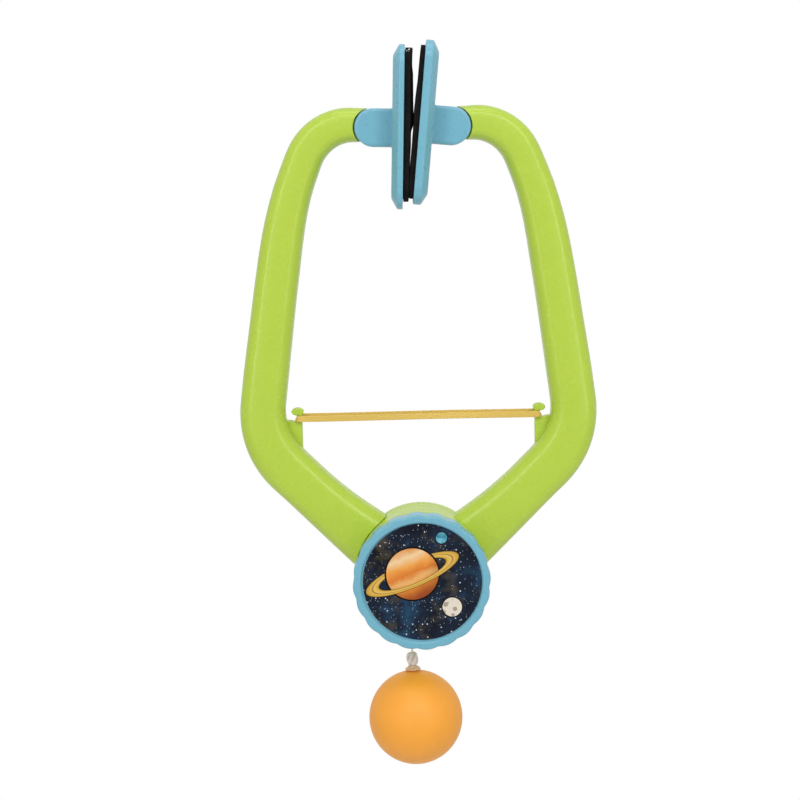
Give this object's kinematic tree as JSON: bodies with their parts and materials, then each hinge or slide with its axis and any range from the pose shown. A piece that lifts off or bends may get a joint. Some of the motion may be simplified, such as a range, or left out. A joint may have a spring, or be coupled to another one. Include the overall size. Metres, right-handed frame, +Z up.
{
  "type": "hanging table tennis trainer",
  "caption": "Sprung tongs with tilting pads grip a wall above a doorway; a reel knob at their hub winds the cord that a table tennis ball hangs on.",
  "frame": {"origin": "midway between the pads' pins, in the parting plane of the arms", "axes": "+X from the left pad to the right pad, +Y from the knob's side to the rear, +Z up"},
  "size_m": [0.1508, 0.052, 0.3049],
  "materials": {
    "green_plastic": "gloss",
    "blue_plastic": "satin",
    "black_foam": "matte foam rubber",
    "amber_rubber": "satin",
    "clear_cord": "clear",
    "orange_celluloid": "matte",
    "zinc_steel": "zinc plated",
    "white_plastic": "satin",
    "grey_felt": "felt",
    "printed_disc": "printed, gloss"
  },
  "bodies": {
    "right_arm": {"right_arm_front": "green_plastic", "right_arm_rear": "green_plastic", "right_arm_screw_1": "zinc_steel", "right_arm_screw_2": "zinc_steel", "right_arm_screw_3": "zinc_steel", "pivot_screw": "zinc_steel", "pivot_washer": "zinc_steel", "friction_washer": "grey_felt", "cord_inside": "clear_cord"},
    "left_arm": {"left_arm_front": "green_plastic", "left_arm_rear": "green_plastic", "left_arm_screw_1": "zinc_steel", "left_arm_screw_2": "zinc_steel", "left_arm_screw_3": "zinc_steel"},
    "left_pad": {"left_pad_plate": "blue_plastic", "left_pad_facing": "black_foam", "left_pad_pin": "zinc_steel"},
    "right_pad": {"right_pad_plate": "blue_plastic", "right_pad_facing": "black_foam", "right_pad_pin": "zinc_steel"},
    "reel": {"reel_knob": "blue_plastic", "knob_disc": "printed_disc", "knob_screw": "zinc_steel", "cord_spool": "white_plastic", "cord_winding": "clear_cord"},
    "cord": {"cord_run": "clear_cord"},
    "hanging_ball": {"cord_knot": "clear_cord", "ball_plug": "clear_cord", "ball": "orange_celluloid"},
    "band_left": {"rubber_band_left": "amber_rubber"},
    "band_right": {"rubber_band_right": "amber_rubber"}
  },
  "joints": [
    {"name": "arm_open", "type": "hinge", "parent": "right_arm", "child": "left_arm", "pos_m": [0, 0, -0.1877], "axis": [0, -1, 0], "range_deg": [0, 50], "stiffness_Nm_per_rad": 0.4, "springref_deg": -28.65},
    {"name": "left_pad_tilt", "type": "hinge", "parent": "left_arm", "child": "left_pad", "pos_m": [-0.01629, 0, 0], "axis": [0, -1, 0], "range_deg": [-25, 0]},
    {"name": "right_pad_tilt", "type": "hinge", "parent": "right_arm", "child": "right_pad", "pos_m": [0.01629, 0, 0], "axis": [0, -1, 0], "range_deg": [0, 25]},
    {"name": "band_turn", "type": "hinge", "parent": "left_arm", "child": "band_left", "pos_m": [-0.04944, 0, -0.1227], "axis": [0, -1, 0], "range_deg": [-25, 0]},
    {"name": "band_stretch", "type": "slide", "parent": "band_left", "child": "band_right", "axis": [1, 0, 0], "range_m": [0, 0.0473], "deforming": ["rubber_band_left", "rubber_band_right"]},
    {"name": "reel_spin", "type": "hinge", "parent": "right_arm", "child": "reel", "pos_m": [0, 0, -0.1877], "axis": [0, 1, 0], "range_deg": [0, 9900]},
    {"name": "ball_swing", "type": "hinge", "parent": "right_arm", "child": "cord", "pos_m": [-0.0035, -0.009, -0.21467], "axis": [0, -1, 0], "range_deg": [-45, 45]},
    {"name": "ball_drop", "type": "slide", "parent": "cord", "child": "hanging_ball", "axis": [0, 0, -1], "range_m": [0, 0.977], "deforming": ["cord_run"]}
  ],
  "couplings": [
    {"joint": "left_pad_tilt", "follows": "arm_open", "ratio": -0.5},
    {"joint": "right_pad_tilt", "follows": "arm_open", "ratio": 0.5},
    {"joint": "band_turn", "follows": "arm_open", "ratio": -0.5},
    {"joint": "band_stretch", "follows": "arm_open", "m_per_rad": 0.0541},
    {"joint": "ball_drop", "follows": "reel_spin", "m_per_rad": 0.00565}
  ]
}
